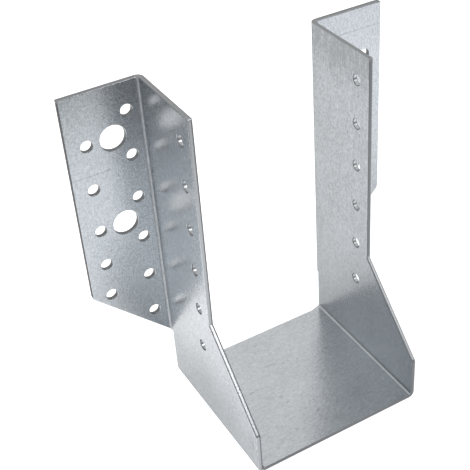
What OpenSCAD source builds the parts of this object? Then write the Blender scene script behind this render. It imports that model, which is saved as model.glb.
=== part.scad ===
// Joist hanger, folded from one galvanised steel sheet.
// X runs across the joist, Y towards the header and Z up, in millimetres. The origin is
// at the middle of the bounding box's underside, so the hanger stands on its seat.

/* [Sheet] */
// Thickness of the sheet
sheet_t = 2; // [1.5:0.1:3]
// Inside radius of every fold
fold_r = 1; // [0.5:0.25:4]

/* [Pocket] */
// Clear width between the cheeks
pocket_w = 76; // [45:1:140]
// Height of the legs over the underside of the seat
leg_h = 152; // [142:1:200]
// Depth of the seat's front edge from the header face
seat_d = 76; // [62:1:100]
// Distance of the seat's back edge from the header face
back_gap = 4.5; // [3:0.5:8]
// Length over which the seat's back edge runs out to each cheek
back_run = 5; // [2:0.5:10]

/* [Cheeks] */
// Depth of the upper cheek from the header face
cheek_d = 42; // [32:1:56]
// Height where the gusset leaves the upper cheek
gusset_top = 56; // [40:1:80]
// Height of the gusset's upright front edge
gusset_front = 21; // [10:1:36]

/* [Flanges] */
// Width of each flange beyond its cheek
flange_w = 33; // [31:0.5:45]
// Length of each flange's upright outer edge
flange_edge = 94.5; // [60:0.5:96]
// Slope of each flange's lower edge, in degrees
flange_slope = 45; // [20:1:48]
// Rounding of each flange's lower outer corner
corner_r = 3; // [0.5:0.5:8]

/* [Nail holes] */
// Diameter of the nail holes
nail_d = 5; // [3:0.5:6]
// Step between the nail rows
nail_step = 20; // [16:0.5:24]
// Depth of the first nail row below the top edge
nail_top = 12.5; // [6:0.5:20]
// Nail rows in the inner column of a flange
nail_rows = 6; // [2:1:6]
// Distance of the inner nail column from the cheek
inner_nail_x = 6.5; // [6:0.25:7]
// Distance of the outer nail column from the cheek
outer_nail_x = 24.5; // [23.5:0.25:27]
// Step from the last full row of the outer column to the first of its two low nails
low_step_1 = 17; // [9:0.5:20]
// Step between the two low nails of the outer column
low_step_2 = 16; // [9:0.5:20]
// Least height of a nail hole's middle over the flange's lower edge
nail_clear = 6; // [5:0.5:10]
// Distance of the joist nails from the cheek's front edge
joist_nail_edge = 8; // [5:0.5:15]

/* [Bolt holes] */
// Diameter of the bolt holes
bolt_d = 11; // [9:0.5:13]
// Distance of the bolt holes from the cheek
bolt_x = 13.5; // [13:0.25:15]

/* [Hidden] */
$fn = 96;

// Overshoot of a shape past the face that another shape cuts
cut = 1;
// Outside radius of a fold, which is also how far it reaches forward of the header face
fold_out = fold_r + sheet_t;
// How far the seat's back edge lies forward of the cheeks' back edges
back_step = max(back_gap - fold_out, 0);
// Middle of the box: the header face is at +Y, the seat's front edge at -Y
header_y = seat_d / 2;
// Inner and outer faces of the right cheek, and the outer edge of its flange
cheek_in = pocket_w / 2;
cheek_out = cheek_in + sheet_t;
flange_out = cheek_out + flange_w;

// Depths below the top edge: the flange's lower edge at a distance x from the cheek,
// and the nail rows that stay clear of that edge
function lower_edge(x) = flange_edge + (flange_w - x) * tan(flange_slope);
function clear_rows(rows, x) = [for (depth = rows) if (depth <= lower_edge(x) - nail_clear) depth];

inner_rows = clear_rows([for (i = [0 : nail_rows - 1]) nail_top + i * nail_step], inner_nail_x);
outer_full = [for (i = [0 : 2]) nail_top + (i + 0.5) * nail_step];
outer_low = [outer_full[2] + low_step_1, outer_full[2] + low_step_1 + low_step_2];
outer_rows = clear_rows(concat(outer_full, outer_low), outer_nail_x);
bolt_rows = [outer_full[0], outer_full[2]];

zinc = [0.74, 0.76, 0.78];

// Mirrors its children to the left leg and keeps the right one
module both_legs() {
    children();
    mirror([1, 0, 0]) children();
}

// Sector of a disc between two angles less than 120 degrees apart
module sector(r, from, to) {
    intersection() {
        circle(r);
        polygon([[0, 0], 2 * r * [cos(from), sin(from)], 2 * r * [cos(to), sin(to)]]);
    }
}

// Section of a right-angled fold about its centre
module fold(from) {
    difference() {
        sector(fold_out, from, from + 90);
        circle(fold_r);
    }
}

// Section across the joist: the seat, a fold each side and the two legs
module trough_section() {
    seat_flat = pocket_w - 2 * fold_r;
    translate([-seat_flat / 2, 0]) square([seat_flat, sheet_t]);
    both_legs() {
        translate([seat_flat / 2, fold_out]) fold(-90);
        translate([cheek_in, fold_out]) square([sheet_t, leg_h - fold_out + cut]);
    }
}

// Side outline of the seat and cheeks, as depths from the header face and heights
module cheek_outline() {
    corners = [
        [fold_out, -cut], [fold_out, leg_h], [cheek_d, leg_h],
        [cheek_d, gusset_top], [seat_d, gusset_front], [seat_d, -cut]
    ];
    polygon([for (c = corners) [header_y - c[0], c[1]]]);
}

// Plan of what is cut from the seat's back edge, which runs out to the cheeks at both ends
module back_cut() {
    back_y = header_y - fold_out;
    polygon([
        [-cheek_in, back_y], [back_run - cheek_in, back_y - back_step],
        [cheek_in - back_run, back_y - back_step], [cheek_in, back_y],
        [cheek_in, back_y + cut], [-cheek_in, back_y + cut]
    ]);
}

// Seat and both cheeks: the trough, cut to the cheeks' side outline and at the seat's back edge
module trough() {
    difference() {
        intersection() {
            translate([0, header_y, 0]) rotate([90, 0, 0])
                linear_extrude(seat_d + cut) trough_section();
            rotate([90, 0, 90])
                linear_extrude(2 * (cheek_out + cut), center = true) cheek_outline();
        }
        translate([0, 0, -cut]) linear_extrude(fold_out + 2 * cut) back_cut();
    }
}

// Plan section of the right leg's fold and flange
module flange_section() {
    translate([cheek_out + fold_r, header_y - fold_out]) fold(90);
    translate([cheek_out + fold_r, header_y - sheet_t])
        square([flange_w - fold_r + cut, sheet_t]);
}

// Front outline of the right flange, with its sloped lower edge and rounded corner
module flange_outline() {
    tangent = corner_r / tan((90 + flange_slope) / 2);
    corner_z = leg_h - flange_edge;
    corner_mid = [flange_out - corner_r, corner_z + tangent];
    slope_start = [flange_out, corner_z] - tangent * [cos(flange_slope), sin(flange_slope)];
    inside = cheek_in - cut;
    polygon([
        [inside, leg_h + cut], [flange_out, leg_h + cut], [flange_out, corner_mid[1]],
        corner_mid, slope_start, [inside, leg_h - lower_edge(inside - cheek_out)]
    ]);
    translate(corner_mid) sector(corner_r, flange_slope - 90, 0);
}

// Right flange with its fold, cut to its front outline
module flange() {
    intersection() {
        linear_extrude(leg_h) flange_section();
        translate([0, header_y + cut, 0]) rotate([90, 0, 0])
            linear_extrude(fold_out + 2 * cut) flange_outline();
    }
}

// A column of holes through the right flange, at a distance x from the cheek
module flange_holes(x, rows, d) {
    for (depth = rows)
        translate([cheek_out + x, header_y + cut, leg_h - depth]) rotate([90, 0, 0])
            cylinder(d = d, h = sheet_t + 2 * cut);
}

// The column of joist nail holes through the right cheek, level with the inner flange nails
module cheek_holes() {
    for (depth = inner_rows)
        translate([cheek_in - cut, header_y - cheek_d + joist_nail_edge, leg_h - depth])
            rotate([0, 90, 0]) cylinder(d = nail_d, h = sheet_t + 2 * cut);
}

// The whole hanger, one folded sheet
module hanger() {
    color(zinc) difference() {
        union() {
            trough();
            both_legs() flange();
        }
        both_legs() {
            flange_holes(inner_nail_x, inner_rows, nail_d);
            flange_holes(outer_nail_x, outer_rows, nail_d);
            flange_holes(bolt_x, bolt_rows, bolt_d);
            cheek_holes();
        }
    }
}

hanger();
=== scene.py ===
"""Joist hanger: the looks of a folded galvanised sheet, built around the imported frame."""

import logging
import math
import operator
from dataclasses import dataclass, field
from enum import Enum
from functools import reduce
from typing import Any, Iterable, Mapping, Optional, Sequence, Union

import bmesh
import bpy
from mathutils import Euler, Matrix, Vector


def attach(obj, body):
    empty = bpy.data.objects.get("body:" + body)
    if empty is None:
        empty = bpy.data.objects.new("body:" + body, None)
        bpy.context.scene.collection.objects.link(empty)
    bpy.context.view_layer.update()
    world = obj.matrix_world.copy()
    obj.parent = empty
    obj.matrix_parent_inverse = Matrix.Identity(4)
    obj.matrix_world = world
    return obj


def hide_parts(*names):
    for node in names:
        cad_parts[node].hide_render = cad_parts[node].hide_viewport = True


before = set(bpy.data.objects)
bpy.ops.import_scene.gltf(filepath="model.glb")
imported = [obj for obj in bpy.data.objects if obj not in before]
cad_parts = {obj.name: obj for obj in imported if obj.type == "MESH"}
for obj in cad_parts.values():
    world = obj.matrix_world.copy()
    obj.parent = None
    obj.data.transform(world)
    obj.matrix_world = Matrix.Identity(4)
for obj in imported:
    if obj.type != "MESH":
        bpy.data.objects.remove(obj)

LOG = logging.getLogger("joist_hanger")
MM = 0.001
NOISE_MIDDLE = 0.5
BLACK = (0.0, 0.0, 0.0)
WHITE = (1.0, 1.0, 1.0)
PHOTO_SIDE = 470.0

Colour = tuple[float, float, float]
Span = tuple[float, float]
Input = Union["Shade", bpy.types.NodeSocket, float, Sequence[float]]


class SheetSide(Enum):
    """The side of the flat blank that a face of the folded sheet lies on."""

    OUTER = "cheek outsides, underside and flange fronts"
    INNER = "cheek insides, seat top and header faces"
    CUT = "sheared outline and punched holes"


class Coat(Enum):
    """Material slots of the sheet, in their order on its mesh."""

    ZINC = 0
    SHEARED = 1


class Shade:
    """A number socket of a node tree. Python's operators on it add Math nodes."""

    def __init__(self, tree: "ShaderTree", socket: bpy.types.NodeSocket) -> None:
        """Wraps an output socket of a tree."""
        self.tree = tree
        self.socket = socket

    def math(self, operation: str, *values: Input) -> "Shade":
        """Adds a Math node.

        Args:
            operation: the Math node's operation.
            values: its inputs in order.

        Returns:
            The node's result.
        """
        made = self.tree.node("ShaderNodeMath", {"operation": operation}, dict(enumerate(values)))
        return Shade(self.tree, made.outputs[0])

    def __add__(self, other: Input) -> "Shade":
        """self + other."""
        return self.math("ADD", self, other)

    def __radd__(self, other: Input) -> "Shade":
        """other + self."""
        return self.math("ADD", other, self)

    def __sub__(self, other: Input) -> "Shade":
        """self - other."""
        return self.math("SUBTRACT", self, other)

    def __rsub__(self, other: Input) -> "Shade":
        """other - self."""
        return self.math("SUBTRACT", other, self)

    def __mul__(self, other: Input) -> "Shade":
        """self * other."""
        return self.math("MULTIPLY", self, other)

    def __rmul__(self, other: Input) -> "Shade":
        """other * self."""
        return self.math("MULTIPLY", other, self)

    def __neg__(self) -> "Shade":
        """-self."""
        return 0 - self

    def __abs__(self) -> "Shade":
        """Size of self."""
        return self.math("ABSOLUTE", self)

    def least(self, other: Input) -> "Shade":
        """The smaller of self and other."""
        return self.math("MINIMUM", self, other)

    def most(self, other: Input) -> "Shade":
        """The larger of self and other."""
        return self.math("MAXIMUM", self, other)

    def rise(self, low: float, high: float) -> "Shade":
        """Smooth step of self.

        Args:
            low: value where the step starts, at 0.
            high: value where it ends, at 1.

        Returns:
            A mask from 0 to 1.
        """
        made = self.tree.node(
            "ShaderNodeMapRange",
            {"interpolation_type": "SMOOTHSTEP", "clamp": True},
            {"Value": self, "From Min": low, "From Max": high},
        )
        return Shade(self.tree, made.outputs[0])

    def fall(self, low: float, high: float) -> "Shade":
        """The smooth step from 1 at low to 0 at high."""
        return 1 - self.rise(low, high)


def added(masks: Iterable[Shade]) -> Shade:
    """Masks added up in their order."""
    return reduce(operator.add, masks)


class ShaderTree:
    """The node tree of a material or of the world, with a single way to add a node to it."""

    def __init__(self, owner: Union[bpy.types.Material, bpy.types.World]) -> None:
        """Empties the owner's tree."""
        owner.use_nodes = True
        self.owner = owner
        self.tree = owner.node_tree
        self.tree.nodes.clear()

    @classmethod
    def new_material(cls, name: str) -> "ShaderTree":
        """The empty tree of a new material."""
        return cls(bpy.data.materials.new(name))

    def node(
        self,
        kind: str,
        settings: Optional[Mapping[str, Any]] = None,
        sockets: Optional[Mapping[Union[str, int], Input]] = None,
    ) -> bpy.types.Node:
        """Adds a node.

        Args:
            kind: the node's type.
            settings: its properties, which are set first.
            sockets: values or links of its input sockets, by name or index.

        Returns:
            The new node.
        """
        made = self.tree.nodes.new(kind)
        for key, value in (settings or {}).items():
            setattr(made, key, value)
        for key, value in (sockets or {}).items():
            socket = made.inputs[key]
            if isinstance(value, Shade):
                self.tree.links.new(value.socket, socket)
            elif isinstance(value, bpy.types.NodeSocket):
                self.tree.links.new(value, socket)
            elif isinstance(value, (int, float)):
                socket.default_value = value
            else:
                size = len(socket.default_value)
                socket.default_value = tuple(value) + (1.0,) * (size - len(value))
        return made

    def place(self, kind: str = "Object") -> tuple[Shade, Shade, Shade, bpy.types.NodeSocket]:
        """The object's own coordinates, or the heading in the world's tree.

        Args:
            kind: the Texture Coordinate node's output.

        Returns:
            X, Y and Z as values, and the whole vector.
        """
        point = self.node("ShaderNodeTexCoord").outputs[kind]
        parts = self.node("ShaderNodeSeparateXYZ", {}, {0: point}).outputs
        return Shade(self, parts[0]), Shade(self, parts[1]), Shade(self, parts[2]), point

    def stretch(self, point: bpy.types.NodeSocket, scale: Sequence[float]) -> bpy.types.NodeSocket:
        """A vector multiplied along each axis."""
        made = self.node("ShaderNodeVectorMath", {"operation": "MULTIPLY"}, {0: point, 1: scale})
        return made.outputs[0]

    def noise(
        self, point: bpy.types.NodeSocket, size: float, detail: float = 2.0, rough: float = 0.6
    ) -> Shade:
        """Noise over a surface.

        Args:
            point: its coordinates.
            size: size of its features.
            detail: octaves over the first.
            rough: share that each octave keeps.

        Returns:
            A value about NOISE_MIDDLE.
        """
        made = self.node(
            "ShaderNodeTexNoise",
            {},
            {"Vector": point, "Scale": 1.0 / size, "Detail": detail, "Roughness": rough},
        )
        return Shade(self, made.outputs[0])

    def blend(self, share: Input, first: Input, second: Input) -> bpy.types.NodeSocket:
        """A colour between two colours."""
        made = self.node("ShaderNodeMix", {"data_type": "RGBA"}, {0: share, 6: first, 7: second})
        return made.outputs[2]

    def finish(self, shader: bpy.types.Node) -> Union[bpy.types.Material, bpy.types.World]:
        """Ends the tree in a shader."""
        world = isinstance(self.owner, bpy.types.World)
        end = "ShaderNodeOutputWorld" if world else "ShaderNodeOutputMaterial"
        self.node(end, {}, {"Surface": shader.outputs[0]})
        return self.owner


@dataclass(frozen=True)
class SheetSizes:
    """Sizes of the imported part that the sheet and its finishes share, in metres.

    The cheek's inner face is measured from the middle, across. The header face lies as far
    behind the middle as the seat's front edge lies before it.
    """

    sheet: float = 2.0 * MM
    fold: float = 1.0 * MM
    cheek: float = 38.0 * MM
    header: float = 38.0 * MM
    top: float = 152.0 * MM

    @property
    def fold_out(self) -> float:
        """Outside radius of a fold."""
        return self.fold + self.sheet


@dataclass(frozen=True)
class RollMark:
    """A faint straight mark across the sheet, left by a leveller's roll.

    Lengths are in metres: height over the floor, the span across in X, half the line's width
    and the fade at its ends. The core is the share of the width at full strength.
    """

    height: float
    start: float
    end: float
    strength: float
    width: float = 0.22 * MM
    core: float = 0.2
    fade: float = 2.0 * MM

    def mask(self, x: Shade, z: Shade) -> Shade:
        """The mark's place on the sheet.

        Args:
            x: place across.
            z: height.

        Returns:
            The mark's strength on its line, 0 away from it.
        """
        line = abs(z - self.height).fall(self.core * self.width, self.width)
        begun = x.rise(self.start - self.fade, self.start + self.fade)
        ended = x.fall(self.end - self.fade, self.end + self.fade)
        return line * (begun * ended) * self.strength


@dataclass(frozen=True)
class Scuff:
    """A short dark scuff on the seat, along X.

    Lengths are in metres: its middle, half its length and half its width. The cores are the
    shares of the width and the length at full strength.
    """

    x: float
    y: float
    half: float
    strength: float
    width: float = 0.45 * MM
    core: float = 0.2
    end_core: float = 0.3

    def mask(self, x: Shade, y: Shade) -> Shade:
        """The scuff's place, seen from above.

        Args:
            x: place across.
            y: place towards the header.

        Returns:
            The scuff's strength in its middle, 0 away from it.
        """
        line = abs(y - self.y).fall(self.core * self.width, self.width)
        return line * abs(x - self.x).fall(self.end_core * self.half, self.half) * self.strength


@dataclass(frozen=True)
class Speck:
    """A dark speck on a cheek. Lengths are in metres. The core is at full strength."""

    x: float
    y: float
    z: float
    size: float
    strength: float
    core: float = 0.4

    def mask(self, x: Shade, y: Shade, z: Shade) -> Shade:
        """The speck's place.

        Args:
            x: place across.
            y: place towards the header.
            z: height.

        Returns:
            The speck's strength in its middle, 0 away from it.
        """
        near = abs(x - self.x) + abs(y - self.y) + abs(z - self.z)
        return near.fall(self.core * self.size, self.size) * self.strength


@dataclass(frozen=True)
class ZincFinish(SheetSizes):
    """Satin zinc coat with rolling grain, mottling, pits, clouds, streaks by the top edge and wear.

    Lengths are in metres. Values that end in _tone say how much a pattern shifts the coat from
    dull to bright, and those in _rough how much it shifts the roughness.
    """

    name: str = "galvanised_zinc"
    dull: Colour = (0.290, 0.311, 0.329)
    bright: Colour = (0.535, 0.572, 0.607)
    roughness: float = 0.230
    # Grain, which runs along the seat and up the legs, mottling, pits and clouds
    grain_width: float = 0.45 * MM
    grain_stretch: float = 0.14
    grain_tone: float = 0.7
    mottle_size: float = 1.2 * MM
    mottle_tone: float = 1.0
    mottle_rough: float = 0.10
    pit_size: float = 0.75 * MM
    pit_rise: Span = (0.58, 0.76)
    pit_tone: float = 0.18
    cloud_size: float = 24.0 * MM
    cloud_tone: float = 0.45
    cloud_rough: float = 0.06
    # Relief of the grain and the mottling
    grain_relief: float = 0.6
    mottle_relief: float = 1.6
    relief_strength: float = 0.5
    relief_depth: float = 0.05 * MM
    # How strong the fine patterns are: on the legs, higher up, on the seat and on the low outsides
    worn_base: float = 0.95
    worn_high: float = 0.60
    worn_seat: float = 0.10
    worn_outside: float = 0.40
    worn_rise: Span = (25.0 * MM, 80.0 * MM)
    high_rough: float = 0.03
    seat_fade: Span = (3.0 * MM, 5.0 * MM)
    # Depths into the sheet where its inner face ends and its outer face begins
    inner_face: Span = (0.4 * MM, 1.4 * MM)
    outer_face: Span = (1.4 * MM, 1.9 * MM)
    # Streaked band under the top edge
    streak_width: float = 0.80 * MM
    streak_stretch: float = 0.08
    streak_reach: float = 26.0 * MM
    streak_rise: Span = (0.40, 0.70)
    streak_least: float = 0.4
    streak_outside: float = 0.2
    streak_tone: float = 0.75
    # Upright scratches on the left gusset
    scratch_front: Span = (29.0 * MM, 34.0 * MM)
    scratch_top: Span = (15.0 * MM, 23.0 * MM)
    scratch_rise: Span = (0.45, 0.62)
    scratch_tone: float = 0.45
    # Folds, dull on their crowns; the seat's hollows burnished smoother, and brightened as a painted
    # highlight along the fold
    fold_fade: float = 0.6 * MM
    flange_fold_share: float = 1.2
    bend_tone: float = 0.12
    bend_rough: float = 0.22
    hollow_fade: float = 0.3 * MM
    hollow_highlight_tone: float = 0.20
    hollow_rough: float = 0.08
    # Single marks
    mark_tone: float = 0.35
    mark_rough: float = 0.08
    marks: tuple[RollMark, ...] = (
        RollMark(116.3 * MM, -73.0 * MM, -56.0 * MM, 1.0),
        RollMark(141.8 * MM, -46.0 * MM, -40.5 * MM, 0.7),
        RollMark(89.0 * MM, -48.0 * MM, -42.0 * MM, 0.7),
        RollMark(142.0 * MM, 50.0 * MM, 73.0 * MM, 1.0),
    )
    scuff_tone: float = 0.8
    scuffs: tuple[Scuff, ...] = (
        Scuff(1.7 * MM, 10.1 * MM, 1.1 * MM, 1.0),
        Scuff(-3.9 * MM, 12.0 * MM, 4.5 * MM, 0.5),
        Scuff(-3.1 * MM, 27.1 * MM, 1.6 * MM, 0.8),
        Scuff(9.4 * MM, 15.4 * MM, 1.2 * MM, 0.6),
        Scuff(-19.9 * MM, 1.6 * MM, 1.5 * MM, 0.9),
        Scuff(-10.4 * MM, -7.7 * MM, 1.2 * MM, 0.9),
        Scuff(-9.5 * MM, -12.0 * MM, 1.5 * MM, 0.7),
        Scuff(-1.2 * MM, -23.3 * MM, 1.4 * MM, 1.0),
        Scuff(-14.4 * MM, -27.8 * MM, 1.6 * MM, 0.6),
    )
    speck_tone: float = 0.7
    specks: tuple[Speck, ...] = (
        Speck(38.0 * MM, 10.3 * MM, 112.4 * MM, 0.9 * MM, 1.0),
        Speck(38.0 * MM, 14.3 * MM, 104.4 * MM, 0.8 * MM, 0.7),
        Speck(38.0 * MM, 17.5 * MM, 81.4 * MM, 0.8 * MM, 0.7),
        Speck(38.0 * MM, 11.6 * MM, 124.4 * MM, 0.7 * MM, 0.6),
        Speck(38.0 * MM, 7.2 * MM, 127.3 * MM, 0.7 * MM, 0.5),
        Speck(38.0 * MM, 19.2 * MM, 130.0 * MM, 0.8 * MM, 0.5),
        Speck(38.0 * MM, 9.2 * MM, 81.2 * MM, 0.7 * MM, 0.5),
        Speck(-40.0 * MM, 24.5 * MM, 96.9 * MM, 1.0 * MM, 1.0),
    )

    def material(self) -> bpy.types.Material:
        """Builds the zinc's material.

        Returns:
            The finished material.
        """
        tree = ShaderTree.new_material(self.name)
        x, y, z, point = tree.place()
        side = abs(x)
        seat = z.fall(*self.seat_fade)
        high = z.rise(*self.worn_rise)
        grain = self._grain(tree, point, seat)
        mottle = tree.noise(point, self.mottle_size, detail=4.0)
        cloud = tree.noise(point, self.cloud_size, rough=0.5)
        pits = tree.noise(point, self.pit_size, detail=1.0, rough=0.4).rise(*self.pit_rise)
        marks = added(mark.mask(x, z) for mark in self.marks)
        scuffs = added(scuff.mask(x, y) for scuff in self.scuffs)
        specks = added(speck.mask(x, y, z) for speck in self.specks)
        bends = self._bends(side, y, z)
        hollows = bends * self._hollows(side, z)
        worn = self.worn_base + high * self.worn_high + seat * self.worn_seat
        worn = worn + self._outside(side) * (1 - high) * self.worn_outside
        fine = (grain - NOISE_MIDDLE) * self.grain_tone + (mottle - NOISE_MIDDLE) * self.mottle_tone
        tone = NOISE_MIDDLE + (fine - pits * self.pit_tone) * worn
        # hollows brighten the coat here: a painted highlight along the seat's fold hollows
        tone = tone + (cloud - NOISE_MIDDLE) * self.cloud_tone + hollows * self.hollow_highlight_tone
        tone = tone - marks * self.mark_tone - bends * self.bend_tone - specks * self.speck_tone
        tone = tone - self._scratches(tree, point, x, y, z) * self.scratch_tone
        tone = tone - scuffs * seat * self.scuff_tone
        tone = tone - self._streaks(tree, point, side, z) * self.streak_tone
        rough = self.roughness + (mottle - NOISE_MIDDLE) * self.mottle_rough
        rough = rough + (cloud - NOISE_MIDDLE) * self.cloud_rough + high * self.high_rough
        rough = rough + marks * self.mark_rough + bends * self.bend_rough - hollows * self.hollow_rough
        relief = tree.node(
            "ShaderNodeBump",
            {},
            {
                "Strength": self.relief_strength,
                "Distance": self.relief_depth,
                "Height": grain * self.grain_relief + mottle * self.mottle_relief,
            },
        )
        shader = tree.node(
            "ShaderNodeBsdfPrincipled",
            {},
            {
                "Base Color": tree.blend(tone, self.dull, self.bright),
                "Metallic": 1.0,
                "Roughness": rough,
                "Normal": relief.outputs[0],
            },
        )
        return tree.finish(shader)

    def _grain(self, tree: ShaderTree, point: bpy.types.NodeSocket, seat: Shade) -> Shade:
        """Rolling grain, which turns with the sheet at the seat's folds.

        Args:
            tree: the zinc's tree.
            point: the place as a vector.
            seat: mask of the seat.

        Returns:
            A value about NOISE_MIDDLE.
        """
        upright = tree.stretch(point, (1.0, 1.0, self.grain_stretch))
        across = tree.stretch(point, (self.grain_stretch, 1.0, 1.0))
        on_legs = tree.noise(upright, self.grain_width, detail=3.0)
        on_seat = tree.noise(across, self.grain_width, detail=3.0)
        return on_legs + (on_seat - on_legs) * seat

    def _lines(self, tree: ShaderTree, point: bpy.types.NodeSocket, stretch: float) -> Shade:
        """Noise drawn out into upright lines, about NOISE_MIDDLE."""
        return tree.noise(tree.stretch(point, (1.0, 1.0, stretch)), self.streak_width)

    def _outside(self, across: Shade) -> Shade:
        """Mask of a cheek's outer face and the flange beyond it, by the distance across."""
        return across.rise(*(self.cheek + depth for depth in self.outer_face))

    def _streaks(self, tree: ShaderTree, point: bpy.types.NodeSocket, side: Shade, z: Shade) -> Shade:
        """Mask of the darker, streaked band under the top edge, strongest inside the cheeks.

        Args:
            tree: the zinc's tree.
            point: the place as a vector.
            side: distance from the middle, across.
            z: height.

        Returns:
            1 in a streak at the edge, 0 below the band.
        """
        lines = self._lines(tree, point, self.streak_stretch).rise(*self.streak_rise)
        streaked = self.streak_least + lines * (1 - self.streak_least)
        inside = side.fall(*(self.cheek + depth for depth in self.inner_face))
        share = self.streak_outside + inside * (1 - self.streak_outside)
        return streaked * share * z.rise(self.top - self.streak_reach, self.top)

    def _scratches(
        self, tree: ShaderTree, point: bpy.types.NodeSocket, x: Shade, y: Shade, z: Shade
    ) -> Shade:
        """Mask of the upright scratches on the outside of the left gusset, by its front edge.

        Args:
            tree: the zinc's tree.
            point: the place as a vector.
            x: place across.
            y: place towards the header.
            z: height.

        Returns:
            1 in a scratch, 0 away from the corner.
        """
        lines = self._lines(tree, point, self.grain_stretch).rise(*self.scratch_rise)
        return lines * (self._outside(-x) * (-y).rise(*self.scratch_front) * z.fall(*self.scratch_top))

    def _bends(self, side: Shade, y: Shade, z: Shade) -> Shade:
        """Mask of the folds, where the coat is crazed and dull.

        Args:
            side: distance from the middle, across.
            y: place towards the header.
            z: height.

        Returns:
            1 in a fold of the seat, more in a flange's, 0 on the flats.
        """
        fade, reach = self.fold_fade, self.fold_out
        low, wide, deep = self.cheek - self.fold, self.cheek + reach, self.header - reach
        seat = side.rise(low - fade, low) * z.fall(reach, reach + fade)
        flange = side.fall(wide, wide + fade) * y.rise(deep - fade, deep)
        return seat.most(flange * self.flange_fold_share)

    def _hollows(self, side: Shade, z: Shade) -> Shade:
        """Mask that tells the hollow sides of the seat's folds from their crowns: burnished smoother in
        bending, and brightened as a painted highlight.

        Args:
            side: distance from the middle, across.
            z: height.

        Returns:
            1 on the hollow side of a fold, 0 on its crown.
        """
        fade = self.hollow_fade
        return side.fall(self.cheek, self.cheek + fade) * z.rise(self.sheet - fade, self.sheet)


@dataclass(frozen=True)
class ShearedFinish(SheetSizes):
    """Bare steel of the cut edges: torn by the burr, burnished in the middle, rolled over outside.

    Depths are measured in metres from the sheet's inner side. A fade says over which distances
    from a line of the sheet a zone begins or ends.
    """

    name: str = "sheared_steel"
    torn: Colour = (0.148, 0.156, 0.166)
    burnished: Colour = (0.314, 0.327, 0.342)
    punched: Colour = (0.440, 0.458, 0.478)
    rolled: Colour = (0.314, 0.328, 0.344)
    cropped: Colour = (0.090, 0.095, 0.102)
    roughness: float = 0.30
    torn_rough: float = 0.2
    tear_rough: float = 0.2
    # Zones through the sheet's thickness, with the ragged border of the torn one
    tear_size: float = 0.6 * MM
    tear_depth: float = 0.60 * MM
    tear_fade: float = 0.15 * MM
    ragged: float = 0.60 * MM
    roll_depth: float = 1.45 * MM
    roll_fade: float = 0.2 * MM
    # Top edge, burnished almost through
    top_fade: Span = (1.2 * MM, 0.8 * MM)
    top_burnish: float = 0.85
    top_clean: float = 0.5
    # Joist nail holes, with dark lips at both faces
    nail_line: float = 4.0 * MM
    nail_fade: Span = (2.8 * MM, 3.2 * MM)
    burr_lip: Span = (0.15 * MM, 0.45 * MM)
    roll_lip: Span = (1.55 * MM, 1.80 * MM)
    lip_torn: float = 0.9
    # Flange edges torn through, and the front edges darkened through; on the seat's front edge the dark is
    # painted shade
    flange_fade: Span = (3.0 * MM, 3.4 * MM)
    flange_torn: float = 0.85
    flange_end: float = 73.0 * MM
    end_fade: Span = (0.6 * MM, 0.3 * MM)
    through_darkening: float = 0.85
    front: float = -4.0 * MM
    front_fade: Span = (1.0 * MM, 1.5 * MM)
    gusset: float = 56.0 * MM
    gusset_fade: float = 1.0 * MM
    right_fade: Span = (0.4 * MM, 0.2 * MM)
    seat_fade: Span = (0.3 * MM, 0.6 * MM)
    left_fade: float = 1.0 * MM

    def material(self) -> bpy.types.Material:
        """Builds the cut edges' material.

        Returns:
            The finished material.
        """
        tree = ShaderTree.new_material(self.name)
        x, y, z, point = tree.place()
        side = abs(x)
        depth = self._depth(side, y, z)
        tear = tree.noise(point, self.tear_size, detail=3.0)
        edge = depth + (tear - NOISE_MIDDLE) * self.ragged
        top = z.rise(*(self.top - drop for drop in self.top_fade))
        hole = abs(y - self.nail_line).fall(*self.nail_fade) * (1 - top)
        lips = hole * (depth.fall(*self.burr_lip) + depth.rise(*self.roll_lip))
        flange = side.rise(*(self.cheek + reach for reach in self.flange_fade))
        ends = side.rise(*(self.flange_end - reach for reach in self.end_fade)) * (1 - top)
        # through darkens the flange edges and the front edges; on the seat's front edge this is painted
        # shade
        through = flange.most(self._dark_fronts(x, y, z)) * (1 - top * self.top_clean)
        torn = edge.fall(self.tear_depth - self.tear_fade, self.tear_depth + self.tear_fade)
        torn = torn * (1 - hole.most(top * self.top_burnish))
        torn = torn.most(lips * self.lip_torn).most(through * self.through_darkening)
        rolled = depth.rise(self.roll_depth, self.roll_depth + self.roll_fade)
        rolled = rolled * (1 - hole.most(flange * self.flange_torn))
        steel = tree.blend(torn, tree.blend(hole, self.burnished, self.punched), self.torn)
        shader = tree.node(
            "ShaderNodeBsdfPrincipled",
            {},
            {
                "Base Color": tree.blend(ends, tree.blend(rolled, steel, self.rolled), self.cropped),
                "Metallic": 1.0,
                "Roughness": self.roughness
                + torn * self.torn_rough
                + (tear - NOISE_MIDDLE) * self.tear_rough,
            },
        )
        return tree.finish(shader)

    def _dark_fronts(self, x: Shade, y: Shade, z: Shade) -> Shade:
        """Mask of the front edges darkened all through: the right cheek's, and the seat's, where the dark
        is painted shade.

        Args:
            x: place across.
            y: place towards the header.
            z: height.

        Returns:
            1 on those edges, 0 on the others.
        """
        right = x.rise(*(self.cheek - reach for reach in self.right_fade))
        front = y.fall(*(self.front + reach for reach in self.front_fade))
        upper = z.rise(self.gusset, self.gusset + self.gusset_fade)
        seat = y.fall(*(reach - self.header for reach in self.seat_fade))
        clear = x.rise(-self.cheek, self.left_fade - self.cheek)
        return (right * (front * upper)).most(seat * clear)

    def _depth(self, side: Shade, y: Shade, z: Shade) -> Shade:
        """Depth into the sheet from its inner side.

        Of the depths into the cheek, the flange and the seat it is the middle one, on any of the three.

        Args:
            side: distance from the middle, across.
            y: place towards the header.
            z: height.

        Returns:
            The depth, from 0 to the sheet's thickness.
        """
        cheek = side - self.cheek
        flange = self.header - y
        seat = self.sheet - z
        return cheek.least(flange).most(cheek.most(flange).least(seat))


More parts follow.
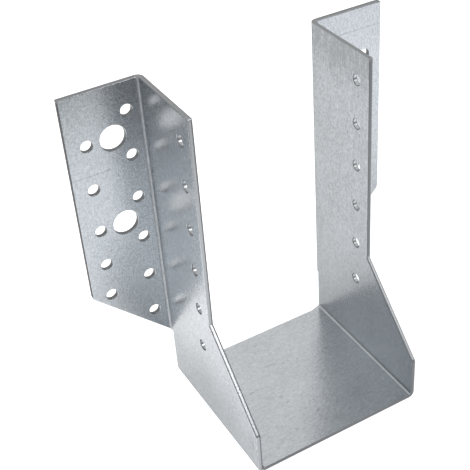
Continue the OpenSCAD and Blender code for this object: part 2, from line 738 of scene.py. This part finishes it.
@dataclass(frozen=True)
class FoldedSheet(SheetSizes):
    """The hanger's one sheet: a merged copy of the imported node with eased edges.

    Lengths are in metres and turns between faces in degrees.
    """

    node: str = "hanger"
    body: str = "root"
    slot: str = "galvanised_sheet"
    name: str = "folded_sheet"
    # Easing of the outline, the burr side, the holes and the outline's corners
    roll_over: float = 0.50 * MM
    burr: float = 0.15 * MM
    hole_roll: float = 0.25 * MM
    corner: float = 0.90 * MM
    ease_steps: int = 3
    # Limits for joining triangles and for telling faces and edges apart
    join: float = 0.001 * MM
    level_turn: float = 0.2
    flat_lean: float = 0.999
    flat_slack: float = 0.01 * MM
    fold_lean: float = 0.1
    fold_slack: float = 0.15 * MM
    corner_turn: float = 25.0
    hole_turn: Span = (-10.0, -0.5)
    # Normals
    sharp_turn: float = 40.0
    area_weight: int = 100
    zinc: ZincFinish = field(default_factory=ZincFinish)
    sheared: ShearedFinish = field(default_factory=ShearedFinish)

    def build(self) -> bpy.types.Object:
        """Makes the sheet and puts it in the node's place.

        Returns:
            The finished piece.
        """
        piece = self._merged_copy()
        self._sort_faces(piece)
        self._ease_edges(piece)
        self._dress(piece)
        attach(piece, self.body)
        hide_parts(self.node)
        return piece

    def _merged_copy(self) -> bpy.types.Object:
        """Copies the node and joins its loose triangles into whole faces.

        Returns:
            The copy, at the origin, selected and active.
        """
        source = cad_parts[self.node]
        bpy.ops.object.select_all(action="DESELECT")
        piece = bpy.data.objects.new(self.name, source.data.copy())
        piece.data.materials.clear()
        bpy.context.scene.collection.objects.link(piece)
        piece.select_set(True)
        bpy.context.view_layer.objects.active = piece
        bpy.ops.object.mode_set(mode="EDIT")
        bpy.ops.mesh.select_all(action="SELECT")
        bpy.ops.mesh.remove_doubles(threshold=self.join)
        bpy.ops.mesh.customdata_custom_splitnormals_clear()
        bpy.ops.mesh.dissolve_limited(
            angle_limit=math.radians(self.level_turn), use_dissolve_boundaries=False
        )
        bpy.ops.object.mode_set(mode="OBJECT")
        return piece

    def side_of(self, centre: Vector, normal: Vector) -> SheetSide:
        """Sorts a face by its place and normal.

        Args:
            centre: the face's middle.
            normal: its outward normal.

        Returns:
            The side of the sheet that it lies on.
        """
        x, y, z = abs(centre.x), centre.y, centre.z
        flats = (
            (abs(normal.x), x, self.cheek + self.sheet, self.cheek),
            (abs(normal.y), y, self.header - self.sheet, self.header),
            (abs(normal.z), z, 0.0, self.sheet),
        )
        for lean, place, outer, inner in flats:
            if lean > self.flat_lean and abs(place - outer) < self.flat_slack:
                return SheetSide.OUTER
            if lean > self.flat_lean and abs(place - inner) < self.flat_slack:
                return SheetSide.INNER
        reach = self.fold_out
        seat_r = math.hypot(x - (self.cheek - self.fold), z - reach)
        flange_r = math.hypot(x - (self.cheek + reach), y - (self.header - reach))
        folds = (
            (abs(normal.y), seat_r, SheetSide.INNER, SheetSide.OUTER),
            (abs(normal.z), flange_r, SheetSide.OUTER, SheetSide.INNER),
        )
        for lean, radius, hollow, crown in folds:
            if lean < self.fold_lean and abs(radius - self.fold) < self.fold_slack:
                return hollow
            if lean < self.fold_lean and abs(radius - reach) < self.fold_slack:
                return crown
        return SheetSide.CUT

    def _sort_faces(self, piece: bpy.types.Object) -> None:
        """Gives each face its material slot and each cut edge its easing, in millimetres.

        Args:
            piece: the merged copy.
        """
        bpy.ops.object.mode_set(mode="EDIT")
        net = bmesh.from_edit_mesh(piece.data)
        net.normal_update()
        easing = net.edges.layers.float.new("bevel_weight_edge")
        sides = {face: self.side_of(face.calc_center_median(), face.normal) for face in net.faces}
        for face, side in sides.items():
            face.smooth = True
            face.material_index = (Coat.SHEARED if side is SheetSide.CUT else Coat.ZINC).value
        sharp = math.radians(self.corner_turn)
        for edge in net.edges:
            cuts = [sides[face] for face in edge.link_faces].count(SheetSide.CUT)
            if cuts == 1:
                edge[easing] = self._easing(edge, sides) / MM
            elif cuts == 2 and edge.calc_face_angle_signed(0.0) > sharp:
                edge[easing] = self.corner / MM
        bmesh.update_edit_mesh(piece.data)
        bpy.ops.object.mode_set(mode="OBJECT")

    def _easing(self, edge: bmesh.types.BMEdge, sides: Mapping[bmesh.types.BMFace, SheetSide]) -> float:
        """How far an edge between a cut and a side of the sheet is eased.

        Args:
            edge: the edge.
            sides: the side of each face.

        Returns:
            The easing: the burr on the inner side, less roll-over at a hole than at the outline.
        """
        if SheetSide.OUTER not in [sides[face] for face in edge.link_faces]:
            return self.burr
        cut = next(face for face in edge.link_faces if sides[face] is SheetSide.CUT)
        inner = [e for e in cut.edges if all(sides[face] is SheetSide.CUT for face in e.link_faces)]
        low, high = (math.radians(turn) for turn in self.hole_turn)
        punched = any(low < e.calc_face_angle_signed(0.0) < high for e in inner)
        return self.hole_roll if punched else self.roll_over

    def _ease_edges(self, piece: bpy.types.Object) -> None:
        """Rounds the sorted edges and smooths the sheet's normals.

        Args:
            piece: the copy, with its edges sorted.
        """
        ease = piece.modifiers.new("eased_edges", "BEVEL")
        ease.limit_method = "WEIGHT"
        ease.width = MM
        ease.segments = self.ease_steps
        ease.material = Coat.SHEARED.value
        ease.use_clamp_overlap = False
        bpy.ops.object.modifier_apply(modifier=ease.name)
        bpy.ops.object.shade_smooth_by_angle(angle=math.radians(self.sharp_turn))
        even = piece.modifiers.new("even_normals", "WEIGHTED_NORMAL")
        even.mode = "FACE_AREA"
        even.weight = self.area_weight
        even.keep_sharp = True
        bpy.ops.object.modifier_apply(modifier=even.name)

    def _dress(self, piece: bpy.types.Object) -> None:
        """Gives the sheet its two finishes, in the order of Coat."""
        for finish in (self.zinc, self.sheared):
            piece.data.materials.append(finish.material())


@dataclass(frozen=True)
class SoftBox:
    """A square soft light, aimed at a point, that the metal may mirror.

    Lengths are in metres and the power in watts.
    """

    name: str
    place: Vector
    aim: Vector
    side: float
    power: float
    mirrored: bool = True

    def build(self) -> None:
        """Hangs the soft box and aims it."""
        data = bpy.data.lights.new(self.name, "AREA")
        data.shape = "SQUARE"
        data.size = self.side
        data.energy = self.power
        light = bpy.data.objects.new(self.name, data)
        bpy.context.scene.collection.objects.link(light)
        light.visible_glossy = self.mirrored
        light.location = self.place
        light.rotation_euler = (self.aim - self.place).to_track_quat("-Z", "Y").to_euler()


@dataclass(frozen=True)
class Studio:
    """A pale floor, what the metal mirrors of it, a white tent of light and three soft boxes.

    Lengths are in metres. Places on the mirrored floor are spans over which a zone begins or ends,
    and those on the tent are spans of its heading, which has length 1.
    """

    floor_side: float = 16.0
    floor_depth: float = 0.10 * MM
    floor_tone: Colour = (0.65, 0.65, 0.65)
    floor_glow: float = 0.70
    # Mirrored floor: pale in front, dimmer behind, dim far in front, a painted falloff of the studio's
    # light
    mirror_side: float = 6.0
    mirror_depth: float = 0.05 * MM
    glow_front: Colour = (0.975, 0.980, 1.0)
    glow_back: Colour = (1.0, 0.98, 0.975)
    glow_strength: float = 0.83
    glow_behind: float = 0.425
    glow_rise: Span = (-0.04, 0.13)
    fade_heading: Span = (-0.505, -0.863)
    fade_reach: Span = (0.140, 0.240)
    fade_share: float = 0.75
    # A paler strip beside the left leg, a painted pool of light, and a dimmer patch at the hanger's foot,
    # a painted contact shadow
    strip_reach: Span = (0.050, 0.064)
    strip_length: Span = (0.07, 0.12)
    strip_share: float = 1.20
    foot_reach: Span = (0.046, 0.054)
    foot_back: Span = (0.040, 0.050)
    foot_front: Span = (0.025, 0.040)
    foot_share: float = 0.20
    # Tent
    tent_tone: Colour = (1.0, 0.98, 0.955)
    tent_low: float = 0.51
    tent_high: float = 1.38
    tent_rise: Span = (0.46, 0.68)
    tent_top: Span = (0.68, 0.85)
    tent_top_share: float = 0.25
    tent_back: Span = (0.40, 0.70)
    tent_back_height: Span = (0.25, 0.42)
    tent_back_glow: float = 0.50
    tent_front: Span = (0.10, 0.60)
    tent_front_share: float = 0.30
    boxes: tuple[SoftBox, ...] = (
        SoftBox("front_box", Vector((0.21, -0.56, 0.575)), Vector((-0.04, -0.02, 0.04)), 0.20, 1.0),
        SoftBox("right_box", Vector((0.41, -0.56, 0.50)), Vector((0.04, -0.02, 0.04)), 0.25, 0.3),
        SoftBox("left_box", Vector((-0.55, 0.0, 0.45)), Vector((-0.05, -0.02, 0.0)), 0.40, 3.0, False),
    )

    def build(self) -> None:
        """Makes the floor, the tent and the soft boxes."""
        self._floor()
        self._mirrored_floor()
        self._tent()
        for box in self.boxes:
            box.build()
        bpy.context.scene.view_settings.view_transform = "Standard"

    def _lay(self, name: str, side: float, depth: float) -> bpy.types.Object:
        """Lays a square plane under the hanger.

        Args:
            name: the plane's name.
            side: its side.
            depth: how far under the hanger it lies.

        Returns:
            The plane.
        """
        bpy.ops.object.select_all(action="DESELECT")
        bpy.ops.mesh.primitive_plane_add(size=side, location=(0.0, 0.0, -depth))
        plane = bpy.context.active_object
        plane.name = name
        return plane

    def _matt(self, tree: ShaderTree, tone: Input, glow: Input, strength: float) -> bpy.types.Material:
        """Ends a floor's tree in a matt, glowing surface.

        Args:
            tree: the floor's tree.
            tone: its own colour.
            glow: the colour of its glow.
            strength: the strength of its glow.

        Returns:
            The finished material.
        """
        shader = tree.node(
            "ShaderNodeBsdfPrincipled",
            {},
            {
                "Base Color": tone,
                "Roughness": 1.0,
                "Specular IOR Level": 0.0,
                "Emission Color": glow,
                "Emission Strength": strength,
            },
        )
        return tree.finish(shader)

    def _floor(self) -> None:
        """Lays the plain pale floor that is seen directly."""
        floor = self._lay("studio_floor", self.floor_side, self.floor_depth)
        floor.visible_glossy = False
        tree = ShaderTree.new_material("pale_floor")
        floor.data.materials.append(self._matt(tree, self.floor_tone, WHITE, self.floor_glow))

    def _mirrored_floor(self) -> None:
        """Lays the floor that only the metal mirrors."""
        floor = self._lay("mirrored_floor", self.mirror_side, self.mirror_depth)
        floor.visible_camera = False
        floor.visible_diffuse = False
        floor.visible_shadow = False
        tree = ShaderTree.new_material("mirrored_floor")
        x, y, _, _ = tree.place()
        # The mirrored floor's glow is painted light: lit fades it far in front, ahead makes it paler in
        # front than behind
        reach = x * self.fade_heading[0] + y * self.fade_heading[1]
        lit = 1 - reach.rise(*self.fade_reach) * self.fade_share
        ahead = (-y).rise(*self.glow_rise)
        # strip is a painted pool of light beside the left leg, foot a painted contact shadow at the
        # hanger's foot
        strip = (-x).rise(*self.strip_reach) * abs(y).fall(*self.strip_length)
        foot = (-x).fall(*self.foot_reach) * y.fall(*self.foot_back) * (-y).fall(*self.foot_front)
        near = (1 + strip * self.strip_share) * (1 - foot * self.foot_share)
        glowing = lit * (self.glow_behind + ahead * (1 - self.glow_behind)) * near
        tone = tree.blend(lit, BLACK, self.floor_tone)
        glow = tree.blend(glowing, BLACK, tree.blend(ahead, self.glow_back, self.glow_front))
        floor.data.materials.append(self._matt(tree, tone, glow, self.glow_strength))

    def _tent(self) -> None:
        """Lights the scene from all round: less low down, straight above and in front, more low behind."""
        tree = ShaderTree(bpy.data.worlds.new("white_tent"))
        _, y, z, _ = tree.place("Generated")
        climb = self.tent_low + z.rise(*self.tent_rise) * (self.tent_high - self.tent_low)
        above = 1 - z.rise(*self.tent_top) * self.tent_top_share
        ahead = 1 - (-y).rise(*self.tent_front) * self.tent_front_share
        behind = y.rise(*self.tent_back) * z.fall(*self.tent_back_height) * self.tent_back_glow
        light = climb * above * ahead + behind
        shader = tree.node("ShaderNodeBackground", {}, {"Color": self.tent_tone, "Strength": light})
        bpy.context.scene.world = tree.finish(shader)


@dataclass(frozen=True)
class PhotoCamera:
    """The camera at the photograph's viewing angle.

    Its place is in metres, its turn in degrees, its lens and sensor in millimetres, and its
    middle, the point of the photograph that it looks at squarely, in pixels.
    """

    place: Vector = field(default_factory=lambda: Vector((-171.97, -291.75, 334.78)) * MM)
    turn: tuple[float, float, float] = (54.134, 2.726, -31.162)
    lens: float = 79.55
    sensor: float = 36.0
    middle_x: float = 265.0
    middle_y: float = 220.0
    nearest: float = 0.01

    def build(self) -> None:
        """Makes the scene's camera."""
        data = bpy.data.cameras.new("photo_camera")
        data.sensor_width = self.sensor
        data.lens = self.lens
        data.shift_x = 0.5 - self.middle_x / PHOTO_SIDE
        data.shift_y = self.middle_y / PHOTO_SIDE - 0.5
        data.clip_start = self.nearest
        camera = bpy.data.objects.new("photo_camera", data)
        bpy.context.scene.collection.objects.link(camera)
        camera.location = self.place
        camera.rotation_euler = Euler([math.radians(a) for a in self.turn], "XYZ")
        bpy.context.scene.camera = camera


def main() -> None:
    """Builds the camera, the sheet and the studio in order."""
    logging.basicConfig(level=logging.INFO, format="%(name)s: %(message)s")
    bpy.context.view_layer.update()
    PhotoCamera().build()
    piece = FoldedSheet().build()
    LOG.info("%s: %d faces", piece.name, len(piece.data.polygons))
    Studio().build()
    LOG.info("studio built")


if __name__ == "__main__":
    main()
